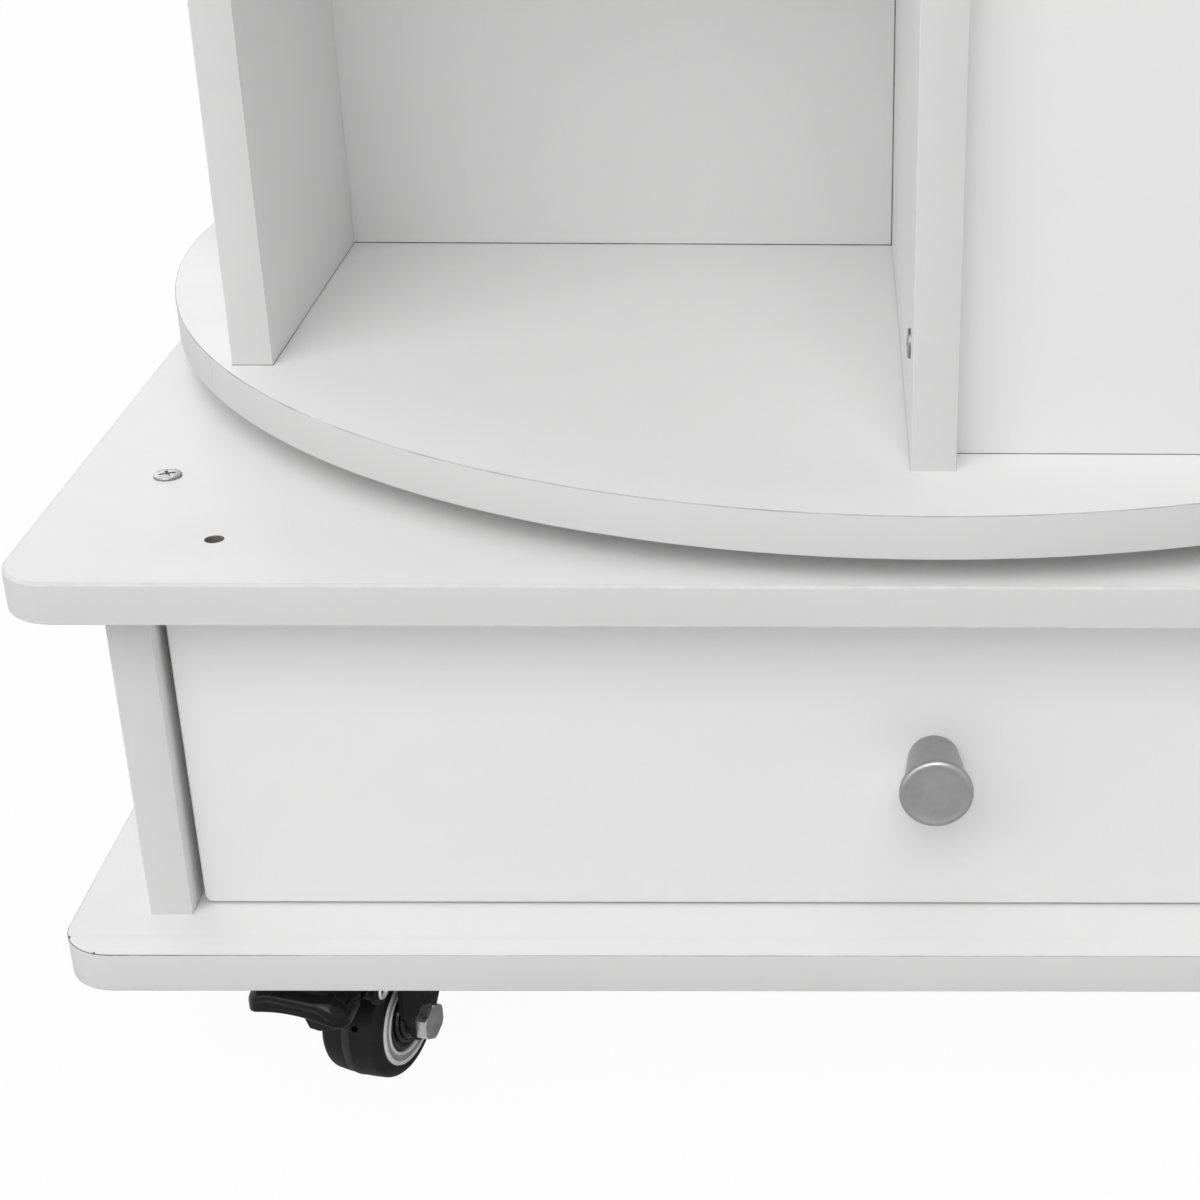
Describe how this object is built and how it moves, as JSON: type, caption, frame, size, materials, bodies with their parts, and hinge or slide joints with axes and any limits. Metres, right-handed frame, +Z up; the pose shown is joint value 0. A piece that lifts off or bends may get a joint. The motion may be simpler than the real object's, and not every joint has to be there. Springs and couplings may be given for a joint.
{
  "type": "rotating bookshelf",
  "caption": "Round tiered bookshelf tower turning on a ball bearing over a square white base with a knobbed drawer and swivel casters, the front ones with brake pedals.",
  "frame": {"origin": "on the floor, under the tower's axis and the middle of the square base", "axes": "+Z up, -Y towards the drawer front, +X to the right seen from the front"},
  "size_m": [0.6159, 0.616, 1.595],
  "materials": {
    "white_laminate": "satin white melamine laminate with white edge banding",
    "zinc_screws": "bright zinc",
    "zinc_plate": "bright zinc, pressed",
    "slide_steel": "zinc-plated strip",
    "ball_steel": "polished",
    "dowel_beech": "raw beech",
    "satin_nickel": "satin nickel",
    "caster_plate_steel": "semi-gloss black",
    "black_fork": "semi-gloss black",
    "black_pedal": "semi-gloss black",
    "black_tyre": "smooth polyurethane",
    "grey_hub": "moulded grey ring with black cover",
    "bright_bolt": "bright zinc"
  },
  "bodies": {
    "base": {"bottom_board": "white_laminate", "top_board": "white_laminate", "side_panel_left": "white_laminate", "side_panel_right": "white_laminate", "back_panel": "white_laminate", "base_screws": "zinc_screws", "slide_rails_fixed": "slide_steel", "turntable_lower_plate": "zinc_plate", "plate_screws": "zinc_screws", "caster_plates": "caster_plate_steel"},
    "drawer": {"drawer_front": "white_laminate", "drawer_side_left": "white_laminate", "drawer_side_right": "white_laminate", "drawer_back": "white_laminate", "drawer_bottom": "white_laminate", "drawer_knob": "satin_nickel", "drawer_screws": "zinc_screws", "slide_rails_moving": "slide_steel", "drawer_dowels": "dowel_beech"},
    "slide_cages": {"slide_ball_cages": "ball_steel"},
    "tower": {"turntable_board": "white_laminate", "round_shelf_1": "white_laminate", "round_shelf_2": "white_laminate", "round_shelf_3": "white_laminate", "round_top": "white_laminate", "centre_panel_1": "white_laminate", "centre_panel_2": "white_laminate", "centre_panel_3": "white_laminate", "centre_panel_4": "white_laminate", "wing_panels_1": "white_laminate", "wing_panels_2": "white_laminate", "wing_panels_3": "white_laminate", "wing_panels_4": "white_laminate", "outer_walls_1": "white_laminate", "outer_walls_2": "white_laminate", "outer_walls_3": "white_laminate", "outer_walls_4": "white_laminate", "tower_screws": "zinc_screws", "tower_dowels": "dowel_beech", "turntable_upper_plate": "zinc_plate", "turntable_screws": "zinc_screws"},
    "turntable_ball_ring": {"turntable_balls": "ball_steel"},
    "caster_front_left": {"caster_fork_front_left": "black_fork", "axle_bolt_front_left": "bright_bolt"},
    "wheel_front_left": {"caster_tyre_front_left": "black_tyre", "caster_hub_front_left": "grey_hub"},
    "pedal_front_left": {"brake_pedal_front_left": "black_pedal"},
    "caster_front_right": {"caster_fork_front_right": "black_fork", "axle_bolt_front_right": "bright_bolt"},
    "wheel_front_right": {"caster_tyre_front_right": "black_tyre", "caster_hub_front_right": "grey_hub"},
    "pedal_front_right": {"brake_pedal_front_right": "black_pedal"},
    "caster_rear_left": {"caster_fork_rear_left": "black_fork", "axle_bolt_rear_left": "bright_bolt"},
    "wheel_rear_left": {"caster_tyre_rear_left": "black_tyre", "caster_hub_rear_left": "grey_hub"},
    "caster_rear_right": {"caster_fork_rear_right": "black_fork", "axle_bolt_rear_right": "bright_bolt"},
    "wheel_rear_right": {"caster_tyre_rear_right": "black_tyre", "caster_hub_rear_right": "grey_hub"}
  },
  "joints": [
    {"name": "drawer_slide", "type": "slide", "parent": "base", "child": "drawer", "axis": [0, -1, 0], "range_m": [0, 0.3]},
    {"name": "slide_cage_travel", "type": "slide", "parent": "base", "child": "slide_cages", "axis": [0, -1, 0], "range_m": [0, 0.15]},
    {"name": "turntable_spin", "type": "hinge", "parent": "base", "child": "tower", "pos_m": [0, 0, 0.2345], "axis": [0, 0, 1], "continuous": true},
    {"name": "ball_ring_spin", "type": "hinge", "parent": "base", "child": "turntable_ball_ring", "pos_m": [0, 0, 0.2345], "axis": [0, 0, 1], "continuous": true},
    {"name": "swivel_front_left", "type": "hinge", "parent": "base", "child": "caster_front_left", "pos_m": [-0.199, -0.23, 0.062], "axis": [0, 0, 1], "continuous": true},
    {"name": "wheel_spin_front_left", "type": "hinge", "parent": "caster_front_left", "child": "wheel_front_left", "pos_m": [-0.20568, -0.24885, 0.025], "axis": [0.9426, -0.3338, 0], "continuous": true},
    {"name": "brake_front_left", "type": "hinge", "parent": "caster_front_left", "child": "pedal_front_left", "pos_m": [-0.21469, -0.2743, 0.056], "axis": [0.9426, -0.3338, 0], "range_deg": [0, 28]},
    {"name": "swivel_front_right", "type": "hinge", "parent": "base", "child": "caster_front_right", "pos_m": [0.199, -0.23, 0.062], "axis": [0, 0, 1], "continuous": true},
    {"name": "wheel_spin_front_right", "type": "hinge", "parent": "caster_front_right", "child": "wheel_front_right", "pos_m": [0.20367, -0.24945, 0.025], "axis": [0.9724, 0.2334, 0], "continuous": true},
    {"name": "brake_front_right", "type": "hinge", "parent": "caster_front_right", "child": "pedal_front_right", "pos_m": [0.20997, -0.2757, 0.056], "axis": [0.9724, 0.2334, 0], "range_deg": [0, 28]},
    {"name": "swivel_rear_left", "type": "hinge", "parent": "base", "child": "caster_rear_left", "pos_m": [-0.199, 0.23, 0.062], "axis": [0, 0, 1], "continuous": true},
    {"name": "wheel_spin_rear_left", "type": "hinge", "parent": "caster_rear_left", "child": "wheel_rear_left", "pos_m": [-0.21004, 0.21332, 0.025], "axis": [0.8339, -0.5519, 0], "continuous": true},
    {"name": "swivel_rear_right", "type": "hinge", "parent": "base", "child": "caster_rear_right", "pos_m": [0.199, 0.23, 0.062], "axis": [0, 0, 1], "continuous": true},
    {"name": "wheel_spin_rear_right", "type": "hinge", "parent": "caster_rear_right", "child": "wheel_rear_right", "pos_m": [0.20057, 0.21006, 0.025], "axis": [0.9969, 0.0785, 0], "continuous": true}
  ],
  "couplings": [
    {"joint": "slide_cage_travel", "follows": "drawer_slide", "ratio": 0.5},
    {"joint": "ball_ring_spin", "follows": "turntable_spin", "ratio": 0.5}
  ]
}
